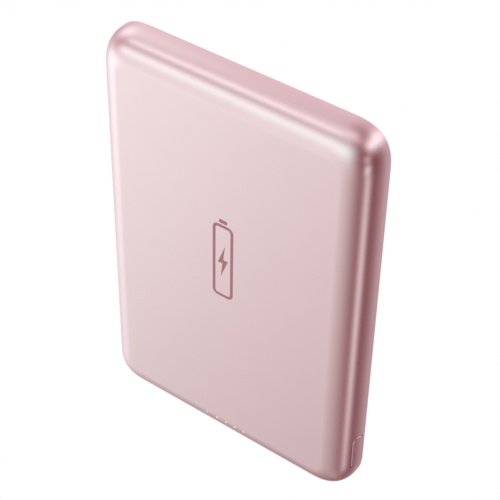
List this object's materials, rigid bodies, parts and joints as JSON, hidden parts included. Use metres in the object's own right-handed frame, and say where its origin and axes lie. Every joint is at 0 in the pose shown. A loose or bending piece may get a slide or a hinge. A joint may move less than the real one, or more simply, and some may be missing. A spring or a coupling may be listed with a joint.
{
  "type": "power bank",
  "caption": "Slim card-size magnetic wireless power bank: soft-edged metal shell, flat back cover with a contact ring, side button, charge lamps and a charging port.",
  "frame": {"origin": "middle of the back face, on the surface it lies on", "axes": "+Z out of the broad front face; +Y along the length, away from the port and lamps; +X towards the side with the button"},
  "size_m": [0.0701, 0.104, 0.0089],
  "materials": {
    "pink_metal": "fine bead-blasted, rose pink anodised, satin",
    "cover_plastic": "fine matt moulded",
    "soft_silicone": "soft matt",
    "teal_resin": "clear, lit teal from below",
    "clear_resin": "clear, lit white from below",
    "steel": "satin",
    "black_plastic": "moulded matt",
    "white_plastic": "moulded matt",
    "circuit_board": "solder mask",
    "ceramic": "fired",
    "ferrite": "sintered, matt",
    "copper": "enamelled wire",
    "nickel": "plated",
    "pouch_foil": "laminated foil",
    "graphite": "pressed sheet",
    "adhesive_tape": "die-cut tape"
  },
  "bodies": {
    "housing": {"alignment_magnet": "nickel", "back_cover": "cover_plastic", "battery_adhesive": "adhesive_tape", "battery_cell": "pouch_foil", "battery_frame": "black_plastic", "battery_lead_negative": "nickel", "battery_lead_positive": "nickel", "battery_protection_board": "circuit_board", "battery_tab_negative": "nickel", "battery_tab_positive": "nickel", "board_screw_1": "steel", "board_screw_2": "steel", "bulk_capacitor": "ceramic", "charging_coil": "copper", "coil_driver": "black_plastic", "coil_lead_left": "copper", "coil_lead_right": "copper", "coil_tray": "black_plastic", "contact_ring": "soft_silicone", "cover_adhesive": "adhesive_tape", "ferrite_sheet": "ferrite", "front_shell": "pink_metal", "graphite_sheet": "graphite", "led_chip_1": "white_plastic", "led_chip_2": "white_plastic", "led_chip_3": "white_plastic", "led_chip_4": "white_plastic", "led_chip_5": "white_plastic", "led_lens_1": "teal_resin", "led_lens_2": "clear_resin", "led_lens_3": "clear_resin", "led_lens_4": "clear_resin", "led_lens_5": "clear_resin", "led_light_block": "black_plastic", "magnet_shunt": "steel", "main_board": "circuit_board", "port_bezel": "cover_plastic", "power_controller": "black_plastic", "power_inductor": "ferrite", "resonant_capacitor_1": "ceramic", "resonant_capacitor_2": "ceramic", "ring_magnet_01": "nickel", "ring_magnet_02": "nickel", "ring_magnet_03": "nickel", "ring_magnet_04": "nickel", "ring_magnet_05": "nickel", "ring_magnet_06": "nickel", "ring_magnet_07": "nickel", "ring_magnet_08": "nickel", "ring_magnet_09": "nickel", "ring_magnet_10": "nickel", "ring_magnet_11": "nickel", "ring_magnet_12": "nickel", "switch_body": "steel", "temperature_sensor": "ceramic", "usb_c_shell": "steel", "usb_c_tongue": "black_plastic", "wireless_controller": "black_plastic"},
    "power_button": {"power_button": "pink_metal"},
    "switch_plunger": {"switch_plunger": "black_plastic"}
  },
  "joints": [
    {"name": "button_press", "type": "slide", "parent": "housing", "child": "power_button", "axis": [-1, 0, 0], "range_m": [0, 0.0003], "stiffness_N_per_m": 150},
    {"name": "plunger_press", "type": "slide", "parent": "housing", "child": "switch_plunger", "axis": [-1, 0, 0], "range_m": [0, 0.0003]}
  ],
  "couplings": [
    {"joint": "plunger_press", "follows": "button_press", "ratio": 1}
  ]
}
